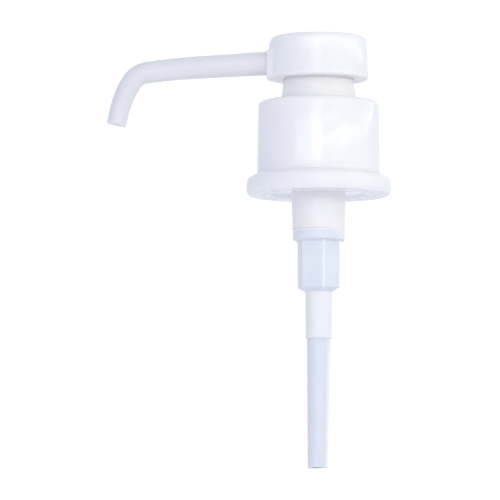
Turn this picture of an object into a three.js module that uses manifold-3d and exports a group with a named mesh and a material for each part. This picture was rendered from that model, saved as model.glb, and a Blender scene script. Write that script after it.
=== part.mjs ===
// Condiment pump for a 38 mm class screw neck: pressed head with a bent spout, piston pump,
// free-spinning screw closure, hexagonal valve body and dip tube.
//
// Frame, in millimetres: +Z up along the pump's axis, z = 0 at the closure's underside, and the
// spout points to -X. The pump is at rest, with its head all the way up.
import * as THREE from "three";
import { mergeVertices } from "three/addons/utils/BufferGeometryUtils.js";
import Module from "manifold-3d";

const wasm = await Module();
wasm.setup();

// ---------------------------------------------------------------- driving dimensions
const GAP = 0.3; // left between pieces that touch in the product

const HEAD = { top: 63.8, bottom: 46.5, rTop: 19.5, rBottom: 20.0, rInside: 17.6, ceiling: 62.0 };
const BOSS = { face: 21.1, angle: 270, fullTo: 12, goneBy: 24, roundTo: 49.0, top: 57.6, gone: 59.6 };
const SKIRT = { rTop: 14.0, rBottom: 15.1, rInside: 13.0, flareZ: 38.3, bottom: 33.0 };
const DISC = { top: 61.7, bottom: 59.4, r: 17.1 };
const PLATE = { top: 47.9, bottom: 46.8, r: 17.25 }; // closes the head's underside
const HUB = { r: 6.2, bottom: 42.0, rBore: 3.8, rChamber: 3.4, chamberTop: 57.2 };

const SPOUT = {
  axisZ: 54.42, // where the spout's axis meets the pump's axis
  droop: THREE.MathUtils.degToRad(3.4),
  bendStart: 47.6, // measured along the spout from the pump's axis
  bends: [[265, 4.6], [9.0, 50.8], [40.8, 20.0]], // each arc's radius, and its turn in degrees
  tipZ: 28.2,
  rRoot: 4.75,
  rBend: 4.3,
  rTip: 3.85,
  rBore: 2.6,
  spigotR: 3.4,
  spigotStart: 10.3,
  shoulder: 16.85,
};

const CLOSURE = { top: 37.7, rTop: 24.15, rBottom: 24.65, rHole: 15.5, rFlange: 29.0, rInside: 22.6 };
const NECK = { rRoot: 19.1, rCrest: 17.9, pitch: 4.23, turns: 1.25, threadBottom: 2.4 };
const INSERT = { r: 22.2, bottom: 0.3, ceiling: 13.4, top: 15.6, rHole: 12.2 };

const CYLINDER = { rBore: 8.6, rAtClosure: 10.85, slope: 0.0257, rUpper: 11.0, top: 30.0 };
const FLANGE = { r: 17.6, bottom: 11.2, top: 13.0 };
const SHANK_EDGE_Z = -14.0;
const KEY = { drop: 3.4, centre: 100, halfFlat: 27, ramp: 51 }; // tongue on the shank, in degrees

const HEX = { apothem: 7.65, rCorner: 8.7, firstCorner: 13, top: -18.8, bottom: -37.3 };
const VALVE = { rCollar: 10.35, rSpigot: 8.3, top: -9.3, rBore: 5.9, rPort: 2.75 };
const SOCKET = { rTop: 5.35, rBottom: 5.25, rBore: 4.6, roof: -40.0, bottom: -57.6 };
const TUBE = { rPlug: 4.3, rTop: 4.6, rEnd: 4.05, rBore: 2.8, top: -40.5, shoulder: -57.9 };
const TUBE_END_Z = -109.3;
const TUBE_LEAN = THREE.MathUtils.degToRad(0.35);

const STEM = { r: 3.6, rBore: 2.0, bottom: 4.6, top: 47.0 };
const PISTON = { r: 7.8, bottom: 6.3, top: 11.0 };
const SPRING = { rMean: 7.2, rWire: 0.5, bottom: -9.0, top: 6.0, closedTurns: 0.8, openTurns: 3.2 };
const INLET_BALL = { r: 3.6, z: -31.73 };
const OUTLET_BALL = { r: 2.8, z: 49.28 };

const LARGE = 32; // segments round the large turned pieces
const MEDIUM = 24;
const SMALL = 20;
const DRUM = 48; // has a point at the middle of the boss
const KEYED = 36; // shared by the cylinder and the valve body, so that their edges run parallel

// ---------------------------------------------------------------- materials
const material = (color, roughness, metalness = 0, more = {}) =>
  new THREE.MeshStandardMaterial({ color, roughness, metalness, ...more });

const whitePP = material(0xf4f6f8, 0.28);
const naturalPP = material(0xe2ebf5, 0.35, 0, { transparent: true, opacity: 0.75 });
const tubePE = material(0xdfe9f6, 0.4, 0, { transparent: true, opacity: 0.8 });
const foam = material(0xe9e9e4, 0.9);
const rubber = material(0xd6d8da, 0.6);
const steel = material(0xb9bcc0, 0.25, 0.9);

// ---------------------------------------------------------------- geometry helpers
const group = new THREE.Group();
group.name = "condiment_pump_dispenser";

// A closed surface from points and triangles, turned the right way out.
function surface(points, index) {
  let volume = 0;
  for (let i = 0; i < index.length; i += 3) {
    const [a, b, c] = [points[index[i]], points[index[i + 1]], points[index[i + 2]]];
    volume += a.dot(b.clone().cross(c));
  }
  const geometry = new THREE.BufferGeometry();
  const flat = points.flatMap((p) => [p.x, p.y, p.z]);
  geometry.setAttribute("position", new THREE.Float32BufferAttribute(flat, 3));
  geometry.setIndex(volume < 0 ? index.slice().reverse() : index);
  return geometry;
}

// Rings of points joined one to the next, with the last joined to the first.
function ringLoop(rings) {
  const n = rings[0].length;
  const index = [];
  for (let i = 0; i < rings.length; i++) {
    const next = (i + 1) % rings.length;
    for (let j = 0; j < n; j++) {
      const k = (j + 1) % n;
      index.push(i * n + j, next * n + j, next * n + k);
      index.push(i * n + j, next * n + k, i * n + k);
    }
  }
  return surface(rings.flat(), index);
}

// Rings of points joined one to the next, with a flat fan over each end.
function ringRow(rings) {
  const n = rings[0].length;
  const points = rings.flat();
  const index = [];
  for (let i = 0; i + 1 < rings.length; i++) {
    for (let j = 0; j < n; j++) {
      const k = (j + 1) % n;
      index.push(i * n + j, (i + 1) * n + j, (i + 1) * n + k);
      index.push(i * n + j, (i + 1) * n + k, i * n + k);
    }
  }
  const last = (rings.length - 1) * n;
  const middle = (ring) => ring.reduce((s, p) => s.add(p), new THREE.Vector3()).divideScalar(n);
  points.push(middle(rings[0]), middle(rings[rings.length - 1]));
  for (let j = 0; j < n; j++) {
    const k = (j + 1) % n;
    index.push(points.length - 2, j, k);
    index.push(points.length - 1, last + k, last + j);
  }
  return surface(points, index);
}

// A turned piece about Z from a list of [r, z]. The list starts and ends on the axis, or it
// closes on itself.
function lathe(profile, segments = MEDIUM) {
  const onAxis = profile[0][0] === 0;
  const list = onAxis ? profile : [...profile, profile[0]];
  const points = list.map(([r, z]) => new THREE.Vector2(r, z));
  return new THREE.LatheGeometry(points, segments).rotateX(Math.PI / 2);
}

// A closed profile whose [r, z] points change with the angle in degrees, which is counted from
// -Y toward +X.
function turned(profileAt, segments, start = 0) {
  const rings = [];
  for (let i = 0; i < segments; i++) {
    const degrees = start + (i * 360) / segments;
    const a = THREE.MathUtils.degToRad(degrees);
    const put = ([r, z]) => new THREE.Vector3(r * Math.sin(a), -r * Math.cos(a), z);
    rings.push(profileAt(degrees).map(put));
  }
  return ringLoop(rings);
}

// Moves a piece built along +Z from the origin onto the spout's axis, outward from the hub.
function alongSpout(geometry) {
  const [s, c] = [Math.sin(SPOUT.droop), Math.cos(SPOUT.droop)];
  const basis = new THREE.Matrix4().makeBasis(
    new THREE.Vector3(-s, 0, c),
    new THREE.Vector3(0, 1, 0),
    new THREE.Vector3(-c, 0, -s),
  );
  return geometry.applyMatrix4(basis.setPosition(0, 0, SPOUT.axisZ));
}

const rod = (r, from, to, segments = SMALL) =>
  lathe([[0, from], [r, from], [r, to], [0, to]], segments);

// A manifold solid from a geometry.
function solid(geometry) {
  geometry.deleteAttribute("normal");
  geometry.deleteAttribute("uv");
  const merged = mergeVertices(geometry, 1e-4);
  const index = merged.index.array;
  const kept = [];
  for (let i = 0; i < index.length; i += 3) {
    const [a, b, c] = [index[i], index[i + 1], index[i + 2]];
    if (a !== b && b !== c && c !== a) kept.push(a, b, c);
  }
  const position = merged.attributes.position;
  let volume = 0;
  const at = (i) => new THREE.Vector3().fromBufferAttribute(position, i);
  for (let i = 0; i < kept.length; i += 3) {
    volume += at(kept[i]).dot(at(kept[i + 1]).cross(at(kept[i + 2])));
  }
  return new wasm.Manifold(
    new wasm.Mesh({
      numProp: 3,
      vertProperties: new Float32Array(position.array),
      triVerts: new Uint32Array(volume < 0 ? kept.reverse() : kept),
    }),
  );
}

function piece(name, finish, shape) {
  const body = shape.isBufferGeometry ? solid(shape) : shape;
  const out = body.getMesh();
  const geometry = new THREE.BufferGeometry();
  geometry.setAttribute("position", new THREE.Float32BufferAttribute(out.vertProperties, 3));
  geometry.setIndex(new THREE.BufferAttribute(new Uint32Array(out.triVerts), 1));
  geometry.computeVertexNormals();
  const mesh = new THREE.Mesh(geometry, finish);
  mesh.name = name;
  group.add(mesh);
}

// A seal ring of six-sided section that fills rIn to rOut and bottom to top.
function sealRing(rIn, rOut, bottom, top, segments = MEDIUM) {
  const [r, z] = [(rIn + rOut) / 2, (bottom + top) / 2];
  const q = (top - bottom) / 4;
  const profile = [[rIn, z - q], [r, bottom], [rOut, z - q], [rOut, z + q], [r, top], [rIn, z + q]];
  return lathe(profile, segments);
}

// ---------------------------------------------------------------- head
// How much of the boss's bulge stands on the drum at an angle and height, from 0 to 1.
function bossShare(degrees, z) {
  const { angle, fullTo, goneBy, roundTo, top, gone } = BOSS;
  const side = 1 - THREE.MathUtils.smoothstep(Math.abs(degrees - angle), fullTo, goneBy);
  const above = 1 - THREE.MathUtils.smoothstep(z, top, gone);
  const drop = THREE.MathUtils.clamp((roundTo - z) / (roundTo - HEAD.bottom), 0, 1);
  return side * above * Math.sqrt(1 - drop * drop);
}

// Drum shell: open at the bottom, with a blended flat boss round the spout's root.
const drum = turned((degrees) => {
  const face = BOSS.face / Math.cos(THREE.MathUtils.degToRad(degrees - BOSS.angle));
  const wall = [
    [HEAD.rBottom - 1.3, HEAD.bottom],
    [HEAD.rBottom - 0.4, HEAD.bottom + 0.4],
    [HEAD.rBottom, HEAD.bottom + 1.3],
    [HEAD.rBottom, BOSS.roundTo],
    [HEAD.rBottom - 0.4, BOSS.top],
    [HEAD.rTop + 0.1, (BOSS.top + BOSS.gone) / 2],
    [HEAD.rTop, BOSS.gone],
  ];
  return [
    [HEAD.rInside + 0.3, HEAD.bottom],
    ...wall.map(([r, z]) => [THREE.MathUtils.lerp(r, face, bossShare(degrees, z)), z]),
    [HEAD.rTop - 0.35, HEAD.top - 1.15],
    [HEAD.rTop - 1.15, HEAD.top - 0.35],
    [HEAD.rTop - 2.4, HEAD.top],
    [0, HEAD.top],
    [0, HEAD.ceiling],
    [HEAD.rInside - 0.8, HEAD.ceiling],
    [HEAD.rInside, HEAD.ceiling - 0.8],
    [HEAD.rInside, HEAD.bottom + 0.4],
  ];
}, DRUM);
const bossHole = solid(alongSpout(rod(SPOUT.rRoot + GAP, 14.0, 25.0)));
piece("head_shell", whitePP, solid(drum).subtract(bossHole));

// Actuator core: locating disc, plate, skirt, hub with the outlet valve's chamber, and arm.
const core = lathe(
  [
    [0, DISC.top],
    [DISC.r - 0.5, DISC.top],
    [DISC.r, DISC.top - 0.5],
    [DISC.r, DISC.bottom],
    [SKIRT.rTop, DISC.bottom],
    [SKIRT.rTop, PLATE.top],
    [PLATE.r, PLATE.top],
    [PLATE.r, PLATE.bottom],
    [SKIRT.rTop, PLATE.bottom],
    [SKIRT.rBottom, SKIRT.flareZ],
    [SKIRT.rBottom, SKIRT.bottom + 0.4],
    [SKIRT.rBottom - 0.4, SKIRT.bottom],
    [SKIRT.rInside, SKIRT.bottom],
    [SKIRT.rInside - 0.4, DISC.bottom],
    [HUB.r, DISC.bottom],
    [HUB.r, HUB.bottom],
    [4.2, HUB.bottom],
    [HUB.rBore, HUB.bottom + 0.4],
    [HUB.rBore, 42.8],
    [4.5, 42.9],
    [4.5, 44.5],
    [HUB.rBore, 44.7],
    [HUB.rBore, 45.1],
    [5.1, 45.1],
    [5.1, 46.7],
    [HUB.rBore, 46.7],
    [HUB.rBore, 47.3],
    [HUB.rChamber, 47.3],
    [HUB.rChamber, HUB.chamberTop],
    [0.8, HUB.chamberTop],
    [0.8, 54.4],
    [0, 54.4],
  ],
  LARGE,
);
const arm = solid(alongSpout(rod(5.2, 4.2, 16.4, MEDIUM)));
const armPassage = solid(alongSpout(rod(SPOUT.rBore, 1.6, 10.6)));
const armSocket = solid(
  alongSpout(
    lathe([[0, 10.0], [3.75, 10.0], [3.75, 14.9], [4.6, 14.9], [4.6, 18.0], [0, 18.0]], SMALL),
  ),
);
const actuatorCore = solid(core).add(arm).subtract(armPassage).subtract(armSocket);
piece("actuator_core", whitePP, actuatorCore);

// Spout: a straight run, three arcs (slight, tight, then easing off) and a straight tip.
function spoutCentre(s) {
  const dir = new THREE.Vector2(-Math.cos(SPOUT.droop), -Math.sin(SPOUT.droop));
  const point = new THREE.Vector2(0, SPOUT.axisZ).addScaledVector(dir, Math.min(s, SPOUT.bendStart));
  let left = Math.max(0, s - SPOUT.bendStart);
  for (const [radius, degrees] of SPOUT.bends) {
    const angle = Math.min(left / radius, THREE.MathUtils.degToRad(degrees));
    const inward = new THREE.Vector2(-dir.y, dir.x);
    point.addScaledVector(dir, radius * Math.sin(angle));
    point.addScaledVector(inward, radius * (1 - Math.cos(angle)));
    dir.rotateAround(new THREE.Vector2(), angle);
    left -= angle * radius;
  }
  point.addScaledVector(dir, left);
  return { point, dir };
}

function spoutRing(s, r) {
  const { point, dir } = spoutCentre(s);
  const ring = [];
  for (let j = 0; j < SMALL; j++) {
    const a = (j * 2 * Math.PI) / SMALL;
    const up = r * Math.cos(a);
    ring.push(
      new THREE.Vector3(point.x - dir.y * up, r * Math.sin(a), point.y + dir.x * up),
    );
  }
  return ring;
}

const bendStops = [SPOUT.bendStart];
for (const [radius, degrees] of SPOUT.bends) {
  const steps = Math.max(2, Math.round(degrees / 9));
  const step = (radius * THREE.MathUtils.degToRad(degrees)) / steps;
  for (let k = 0; k < steps; k++) bendStops.push(bendStops.at(-1) + step);
}
const bendEnd = spoutCentre(bendStops.at(-1));
const spoutLength = bendStops.at(-1) + (bendEnd.point.y - SPOUT.tipZ) / -bendEnd.dir.y;
const tightStart = SPOUT.bendStart + SPOUT.bends[0][0] * THREE.MathUtils.degToRad(SPOUT.bends[0][1]);

const spoutRadius = (s) =>
  s < tightStart
    ? THREE.MathUtils.mapLinear(s, SPOUT.shoulder, tightStart, SPOUT.rRoot, SPOUT.rBend)
    : THREE.MathUtils.mapLinear(s, tightStart, spoutLength, SPOUT.rBend, SPOUT.rTip);
const outside = [SPOUT.shoulder, ...bendStops, spoutLength];
const inside = [spoutLength, ...bendStops.toReversed(), SPOUT.spigotStart];
piece(
  "spout_tube",
  whitePP,
  ringLoop([
    spoutRing(SPOUT.spigotStart, SPOUT.spigotR),
    spoutRing(SPOUT.shoulder, SPOUT.spigotR),
    ...outside.map((s) => spoutRing(s, spoutRadius(s))),
    ...inside.map((s) => spoutRing(s, SPOUT.rBore)),
  ]),
);
piece("spout_o_ring", rubber, alongSpout(sealRing(3.5, 4.4, 15.2, 16.2, SMALL)));
piece("swivel_o_ring", rubber, sealRing(3.75, 4.9, 45.35, 46.45, SMALL));

// ---------------------------------------------------------------- closure
piece(
  "closure_shell",
  whitePP,
  lathe(
    [
      [CLOSURE.rInside, 0],
      [27.6, 0],
      [28.5, 0.4],
      [28.9, 1.4],
      [CLOSURE.rFlange, 2.6],
      [28.9, 4.2],
      [28.5, 5.6],
      [27.8, 6.8],
      [26.6, 7.7],
      [25.1, 8.4],
      [CLOSURE.rBottom, 9.2],
      [CLOSURE.rTop, CLOSURE.top - 1.9],
      [CLOSURE.rTop - 0.25, CLOSURE.top - 0.95],
      [CLOSURE.rTop - 0.95, CLOSURE.top - 0.25],
      [CLOSURE.rTop - 1.9, CLOSURE.top],
      [CLOSURE.rHole + 0.3, CLOSURE.top],
      [CLOSURE.rHole, CLOSURE.top - 0.3],
      [CLOSURE.rHole, CLOSURE.top - 1.8],
      [20.9, CLOSURE.top - 1.8],
      [21.8, CLOSURE.top - 2.7],
      [22.0, 16.2],
      [CLOSURE.rInside, 16.2],
    ],
    LARGE,
  ),
);

// Insert: the closure's inner wall, with one start of right-hand thread.
const insertWall = lathe(
  [
    [NECK.rRoot + 0.4, INSERT.bottom],
    [INSERT.r, INSERT.bottom],
    [INSERT.r, INSERT.top],
    [INSERT.rHole, INSERT.top],
    [INSERT.rHole, INSERT.ceiling],
    [NECK.rRoot, INSERT.ceiling],
    [NECK.rRoot, INSERT.bottom + 0.4],
  ],
  LARGE,
);
const threadRings = [];
const threadSteps = 40;
for (let i = 0; i <= threadSteps; i++) {
  const t = i / threadSteps;
  const a = -t * NECK.turns * 2 * Math.PI;
  const z = NECK.threadBottom + t * NECK.turns * NECK.pitch;
  const fade = Math.min(1, 8 * t + 0.05, 8 * (1 - t) + 0.05);
  const crest = THREE.MathUtils.lerp(NECK.rRoot + 0.1, NECK.rCrest, fade);
  const section = [[20.0, z - 1.3], [20.0, z + 1.3], [crest, z + 0.5], [crest, z - 0.5]];
  threadRings.push(
    section.map(([r, h]) => new THREE.Vector3(r * Math.cos(a), -r * Math.sin(a), h)),
  );
}
piece("threaded_insert", whitePP, solid(insertWall).add(solid(ringRow(threadRings))));

// ---------------------------------------------------------------- pump cylinder and valve body
// How far the shank's key tongue has come down at an angle, from 0 to 1.
function keyShare(degrees) {
  const off = Math.abs(((degrees - KEY.centre + 540) % 360) - 180);
  return THREE.MathUtils.clamp(1 - (off - KEY.halfFlat) / KEY.ramp, 0, 1);
}
const shankEdge = (degrees) => SHANK_EDGE_Z - KEY.drop * keyShare(degrees);
const shankRadius = (z) => CYLINDER.rAtClosure + CYLINDER.slope * z;

piece(
  "pump_cylinder",
  whitePP,
  turned(
    (degrees) => {
      const edge = shankEdge(degrees);
      return [
        [CYLINDER.rBore, edge],
        [shankRadius(edge) - 0.25, edge],
        [shankRadius(edge), edge + 0.25],
        [CYLINDER.rAtClosure, 0],
        [CYLINDER.rAtClosure, FLANGE.bottom],
        [FLANGE.r, FLANGE.bottom],
        [FLANGE.r, FLANGE.top],
        [CYLINDER.rUpper, FLANGE.top],
        [CYLINDER.rUpper, 15.9],
        [12.5, 16.1],
        [12.5, 16.9],
        [CYLINDER.rUpper, 18.0],
        [CYLINDER.rUpper, CYLINDER.top],
        [CYLINDER.rBore, CYLINDER.top],
      ];
    },
    KEYED,
    HEX.firstCorner,
  ),
);

// Radius of the hexagonal barrel, with its corners cut back a little.
function hexRadius(degrees) {
  const fromCorner = (((degrees - HEX.firstCorner) % 60) + 60) % 60;
  const fromFlat = THREE.MathUtils.degToRad(fromCorner - 30);
  return Math.min(HEX.apothem / Math.cos(fromFlat), HEX.rCorner);
}

piece(
  "valve_body",
  naturalPP,
  turned(
    (degrees) => {
      const rim = shankEdge(degrees) - GAP;
      const hex = hexRadius(degrees);
      return [
        [SOCKET.rBore, SOCKET.bottom],
        [SOCKET.rBottom, SOCKET.bottom],
        [SOCKET.rTop, HEX.bottom - 1.6],
        [5.6, HEX.bottom - 1.4],
        [hex, HEX.bottom],
        [hex, HEX.top],
        [VALVE.rCollar - 0.2, -18.1],
        [VALVE.rCollar, -17.95],
        [VALVE.rCollar, rim],
        [VALVE.rSpigot, rim],
        [VALVE.rSpigot, -12.4],
        [7.2, -12.4],
        [7.2, -11.2],
        [VALVE.rSpigot, -11.2],
        [VALVE.rSpigot, VALVE.top - 0.4],
        [VALVE.rSpigot - 0.4, VALVE.top],
        [VALVE.rBore, VALVE.top],
        [VALVE.rBore, -31.0],
        [VALVE.rPort, -34.5],
        [VALVE.rPort, -39.0],
        [SOCKET.rBore, SOCKET.roof],
      ];
    },
    KEYED,
    HEX.firstCorner,
  ),
);
piece("cylinder_o_ring", rubber, sealRing(7.35, 8.45, -12.3, -11.3));
piece("container_gasket", foam, lathe([[11.3, 9.4], [17.4, 9.4], [17.4, 10.9], [11.3, 10.9]]));

// Dip tube: a plug in the socket, a shoulder, and a long taper to a ragged end.
const dipTube = turned(
  (degrees) => {
    const nick = Math.max(0, 1 - Math.abs(((degrees + 200) % 360) - 180) / 30) * 1.1;
    const end = TUBE_END_Z + nick + 0.2 * Math.sin(THREE.MathUtils.degToRad(degrees));
    return [
      [TUBE.rBore, end],
      [TUBE.rEnd, end],
      [TUBE.rTop, TUBE.shoulder],
      [TUBE.rPlug, TUBE.shoulder],
      [TUBE.rPlug, TUBE.top],
      [TUBE.rBore, TUBE.top],
    ];
  },
  SMALL,
);
dipTube.translate(0, 0, -TUBE.top).rotateY(TUBE_LEAN).translate(0, 0, TUBE.top);
piece("dip_tube", tubePE, dipTube);

// Inlet valve: a ball on the conical seat, under a three-slotted stop ring.
piece(
  "inlet_ball",
  steel,
  new THREE.SphereGeometry(INLET_BALL.r, 16, 10).translate(0, 0, INLET_BALL.z),
);
piece(
  "inlet_ball_cage",
  naturalPP,
  turned((degrees) => {
    const slotted = Math.cos(THREE.MathUtils.degToRad(3 * degrees)) > 0.3;
    const rIn = slotted ? 4.8 : 3.0;
    return [[rIn, -25.3], [5.65, -25.3], [5.65, -23.0], [rIn, -23.0]];
  }, MEDIUM),
);

// ---------------------------------------------------------------- plunger
piece(
  "stem",
  naturalPP,
  lathe(
    [
      [STEM.rBore, STEM.bottom],
      [STEM.r, STEM.bottom],
      [STEM.r, PISTON.top + GAP],
      [4.6, PISTON.top + GAP],
      [4.6, 12.6],
      [STEM.r, 13.0],
      [STEM.r, 28.4],
      [5.0, 28.7],
      [5.0, 29.9],
      [STEM.r, 29.9],
      [STEM.r, 43.0],
      [4.1, 43.3],
      [4.1, 43.9],
      [STEM.r, 44.3],
      [STEM.r, STEM.top],
      [STEM.rBore, STEM.top],
    ],
    SMALL,
  ),
);
piece(
  "piston_core",
  whitePP,
  lathe(
    [
      [3.9, PISTON.bottom],
      [PISTON.r - 0.4, PISTON.bottom],
      [PISTON.r, PISTON.bottom + 0.4],
      [PISTON.r, 7.6],
      [6.6, 7.6],
      [6.6, 9.7],
      [PISTON.r, 9.7],
      [PISTON.r, PISTON.top],
      [3.9, PISTON.top],
    ],
    MEDIUM,
  ),
);
piece("piston_seal", rubber, sealRing(6.8, 8.45, 7.8, 9.5));
piece(
  "piston_retainer",
  whitePP,
  lathe(
    [
      [STEM.rBore, 3.4],
      [5.0, 3.4],
      [5.4, 3.8],
      [5.4, 6.0],
      [3.9, 6.0],
      [3.9, STEM.bottom - GAP],
      [STEM.rBore, STEM.bottom - GAP],
    ],
    SMALL,
  ),
);
piece(
  "outlet_ball",
  steel,
  new THREE.SphereGeometry(OUTLET_BALL.r, 14, 10).translate(0, 0, OUTLET_BALL.z),
);

// Guide bushing: a cap on the cylinder's top, with a wiper ring round the stem.
piece(
  "guide_bushing",
  naturalPP,
  lathe(
    [
      [11.35, 27.0],
      [12.5, 27.0],
      [12.5, 32.4],
      [12.1, 32.8],
      [6.3, 32.8],
      [6.3, 31.0],
      [3.85, 31.0],
      [3.85, 30.3],
      [11.35, 30.3],
    ],
    LARGE,
  ),
);
piece("stem_wiper", rubber, lathe([[3.8, 31.3], [6.0, 31.3], [6.0, 32.2], [3.8, 32.5]]));

// Return spring, with closed ends.
const springTurns = 2 * SPRING.closedTurns + SPRING.openTurns;
const springRise = SPRING.top - SPRING.bottom - 2 * SPRING.rWire;
const closedRise = SPRING.closedTurns * 2.15 * SPRING.rWire;
const openPitch = (springRise - 2 * closedRise) / SPRING.openTurns;
function springZ(turns) {
  const low = Math.min(turns, SPRING.closedTurns);
  const open = THREE.MathUtils.clamp(turns - SPRING.closedTurns, 0, SPRING.openTurns);
  const high = Math.max(0, turns - SPRING.closedTurns - SPRING.openTurns);
  const closed = ((low + high) / SPRING.closedTurns) * closedRise;
  return SPRING.bottom + SPRING.rWire + closed + open * openPitch;
}
const springRings = [];
const springSteps = Math.round(springTurns * 16);
for (let i = 0; i <= springSteps; i++) {
  const turns = (i * springTurns) / springSteps;
  const a = turns * 2 * Math.PI;
  const ring = [];
  for (let j = 0; j < 6; j++) {
    const b = (j * Math.PI) / 3;
    const r = SPRING.rMean + SPRING.rWire * Math.cos(b);
    const z = springZ(turns) + SPRING.rWire * Math.sin(b);
    ring.push(new THREE.Vector3(r * Math.cos(a), r * Math.sin(a), z));
  }
  springRings.push(ring);
}
piece("return_spring", steel, ringRow(springRings));

export default group;
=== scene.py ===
"""Condiment pump dispenser: the looks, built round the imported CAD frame.

Profiles are in millimetres, as (radius, height) or (radius, height, fillet radius), and are
turned about the pump's axis, which is Z. Angles about it are in degrees from -Y toward +X,
so the spout lies at 270. Materials, lights and the camera are in metres, Blender's own unit.
"""

import math

import bmesh
import bpy
from mathutils import Matrix, Vector


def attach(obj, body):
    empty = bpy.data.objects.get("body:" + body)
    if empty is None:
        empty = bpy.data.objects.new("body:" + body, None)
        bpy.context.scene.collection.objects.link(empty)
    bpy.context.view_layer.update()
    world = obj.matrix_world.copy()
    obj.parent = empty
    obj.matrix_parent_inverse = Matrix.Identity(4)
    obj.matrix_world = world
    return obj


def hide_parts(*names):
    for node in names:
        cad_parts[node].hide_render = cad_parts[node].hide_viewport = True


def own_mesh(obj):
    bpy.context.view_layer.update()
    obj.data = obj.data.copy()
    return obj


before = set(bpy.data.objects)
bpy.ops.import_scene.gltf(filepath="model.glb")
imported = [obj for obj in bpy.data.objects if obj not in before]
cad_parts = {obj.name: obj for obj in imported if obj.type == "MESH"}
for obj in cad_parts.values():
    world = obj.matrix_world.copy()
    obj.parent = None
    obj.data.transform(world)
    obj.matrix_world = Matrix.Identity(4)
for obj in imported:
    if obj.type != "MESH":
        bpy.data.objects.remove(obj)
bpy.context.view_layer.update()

MM = 0.001
TAU = 2 * math.pi


# ------------------------------------------------------------------ mesh helpers
FILLET_CHORD = math.radians(15)
SHARP_ANGLE = math.radians(35)


def fillet(profile, closed=True, steps=None):
    """Rounds each corner of a profile that states a fillet radius, in steps or by its turn."""
    points = []
    count = len(profile)
    for i, corner in enumerate(profile):
        here = Vector(corner[:2])
        radius = corner[2] if len(corner) > 2 else 0.0
        if radius <= 0 or (not closed and i in (0, count - 1)):
            points.append(here)
            continue
        before = (Vector(profile[i - 1][:2]) - here).normalized()
        after = (Vector(profile[(i + 1) % count][:2]) - here).normalized()
        half = before.angle(after) / 2
        reach = radius / math.tan(half)
        centre = here + (before + after).normalized() * radius / math.sin(half)
        start = here + before * reach - centre
        end = here + after * reach - centre
        sweep = start.angle_signed(end)
        chords = steps or max(2, math.ceil(abs(sweep) / FILLET_CHORD))
        for k in range(chords + 1):
            arm = start.copy()
            arm.rotate(Matrix.Rotation(-sweep * k / chords, 2))
            points.append(centre + arm)
    return [(p.x, p.y) for p in points]


def new_object(name, verts, faces):
    """A mesh object over points in millimetres, with doubled points joined."""
    mesh = bpy.data.meshes.new(name)
    mesh.from_pydata([tuple(c * MM for c in v) for v in verts], [], faces)
    bm = bmesh.new()
    bm.from_mesh(mesh)
    bmesh.ops.remove_doubles(bm, verts=bm.verts, dist=1e-6)
    bmesh.ops.recalc_face_normals(bm, faces=bm.faces)
    bm.to_mesh(mesh)
    bm.free()
    obj = bpy.data.objects.new(name, mesh)
    bpy.context.scene.collection.objects.link(obj)
    return obj


def grid_faces(rows, columns, wrap_rows, wrap_columns):
    """Quads over a grid of points, numbered row by row."""
    faces = []
    for i in range(rows if wrap_rows else rows - 1):
        for j in range(columns if wrap_columns else columns - 1):
            below = (i + 1) % rows
            right = (j + 1) % columns
            faces.append(
                (i * columns + j, below * columns + j, below * columns + right, i * columns + right)
            )
    return faces


def smooth(value, low, high):
    """An S-shaped step, from 0 at low to 1 at high."""
    t = min(1.0, max(0.0, (value - low) / (high - low)))
    return t * t * (3 - 2 * t)


def off_angle(degrees, middle):
    """How far an angle is from the middle one, from 0 to 180 degrees."""
    return abs((degrees - middle + 180) % 360 - 180)


def mark(obj, name, share_at):
    """Stores a share on each vertex, worked out from where it is in millimetres."""
    marks = obj.data.attributes.new(name, "FLOAT", "POINT")
    for vertex in obj.data.vertices:
        marks.data[vertex.index].value = share_at(*(vertex.co / MM))


def turned(name, profile_at, segments, closed=True, start=0.0):
    """A turned piece whose profile may change with the angle."""
    verts = []
    for i in range(segments):
        degrees = start + 360 * i / segments
        a = math.radians(degrees)
        profile = profile_at(degrees)
        verts += [(r * math.sin(a), -r * math.cos(a), z) for r, z in profile]
    faces = grid_faces(segments, len(profile), True, closed)
    return new_object(name, verts, faces)


def lathe(name, profile, segments, closed=True):
    """A turned piece with the same profile all the way round."""
    points = fillet(profile, closed)
    return turned(name, lambda degrees: points, segments, closed)


def swept(name, rings, closed=True):
    """A skin over rings of points. A skin that isn't closed gets a cap at each end."""
    count = len(rings[0])
    faces = grid_faces(len(rings), count, closed, True)
    if not closed:
        faces.append(tuple(range(count)))
        faces.append(tuple(range((len(rings) - 1) * count, len(rings) * count)))
    return new_object(name, [p for ring in rings for p in ring], faces)


def boolean(obj, other, operation):
    """Joins the other object to this one, or cuts it away, and removes the other."""
    modifier = obj.modifiers.new(operation, "BOOLEAN")
    modifier.operation = operation
    modifier.solver = "EXACT"
    modifier.object = other
    depsgraph = bpy.context.evaluated_depsgraph_get()
    result = bpy.data.meshes.new_from_object(obj.evaluated_get(depsgraph))
    before = obj.data
    obj.modifiers.clear()
    obj.data = result
    bpy.data.meshes.remove(before)
    bpy.data.objects.remove(other)
    result.name = obj.name


def finish_piece(obj, body, material, nodes):
    """Shades a piece, gives it its material, and ties it to the frame."""
    obj.data.materials.clear()
    obj.data.materials.append(material)
    obj.data.shade_smooth()
    obj.data.set_sharp_from_angle(angle=SHARP_ANGLE)
    normals = obj.modifiers.new("weighted_normals", "WEIGHTED_NORMAL")
    normals.keep_sharp = True
    normals.weight = 80
    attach(obj, body)
    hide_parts(*nodes)


# ------------------------------------------------------------------ node helpers
def node(tree, kind, **settings):
    made = tree.nodes.new(kind)
    for key, value in settings.items():
        setattr(made, key, value)
    return made


def feed(tree, value, socket):
    """Links a value to a socket, or sets the socket to it when it is a constant."""
    if isinstance(value, bpy.types.NodeSocket):
        tree.links.new(value, socket)
    else:
        socket.default_value = value


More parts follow.
